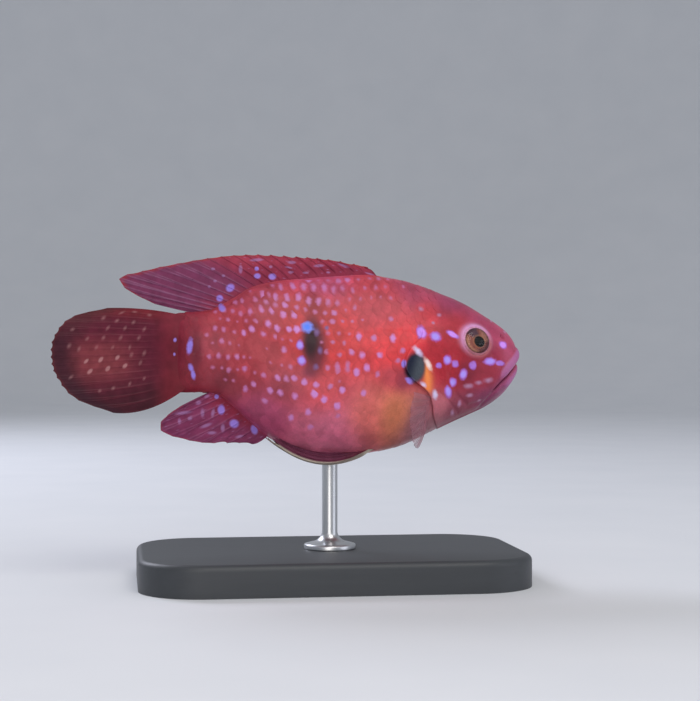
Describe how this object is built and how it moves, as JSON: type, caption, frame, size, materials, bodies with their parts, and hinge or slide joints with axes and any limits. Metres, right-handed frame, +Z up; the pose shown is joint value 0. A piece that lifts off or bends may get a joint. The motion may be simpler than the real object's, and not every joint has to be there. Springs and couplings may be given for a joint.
{
  "type": "balloon red jewel cichlid",
  "caption": "Deep-bodied red aquarium fish with pale jewel spots and spread fins, swimming, as a life-size still model held by a rod over a flat base.",
  "frame": {"origin": "centre of the stand base's underside", "axes": "+X towards the fish's snout, +Y to its left, +Z up; its right side faces -Y"},
  "size_m": [0.0905, 0.046, 0.0628],
  "materials": {
    "skin": "wet, scaled skin, gloss",
    "fin": "fin membrane over rays, satin",
    "clear_fin": "thin clear fin membrane, satin",
    "eye": "wet, gloss",
    "stand_paint": "wood painted dark grey, satin",
    "rod_steel": "brushed, satin"
  },
  "bodies": {
    "root": {"head": "skin", "jaw_lower": "skin", "gill_cover_left": "skin", "gill_cover_right": "skin", "trunk": "skin", "tail_stalk": "skin", "eye_left": "eye", "eye_right": "eye", "fin_dorsal": "fin", "fin_anal": "fin", "fin_caudal": "fin", "fin_pectoral_left": "clear_fin", "fin_pectoral_right": "clear_fin", "fin_pelvic_left": "fin", "fin_pelvic_right": "fin", "stand_base": "stand_paint", "stand_rod": "rod_steel"}
  },
  "joints": []
}
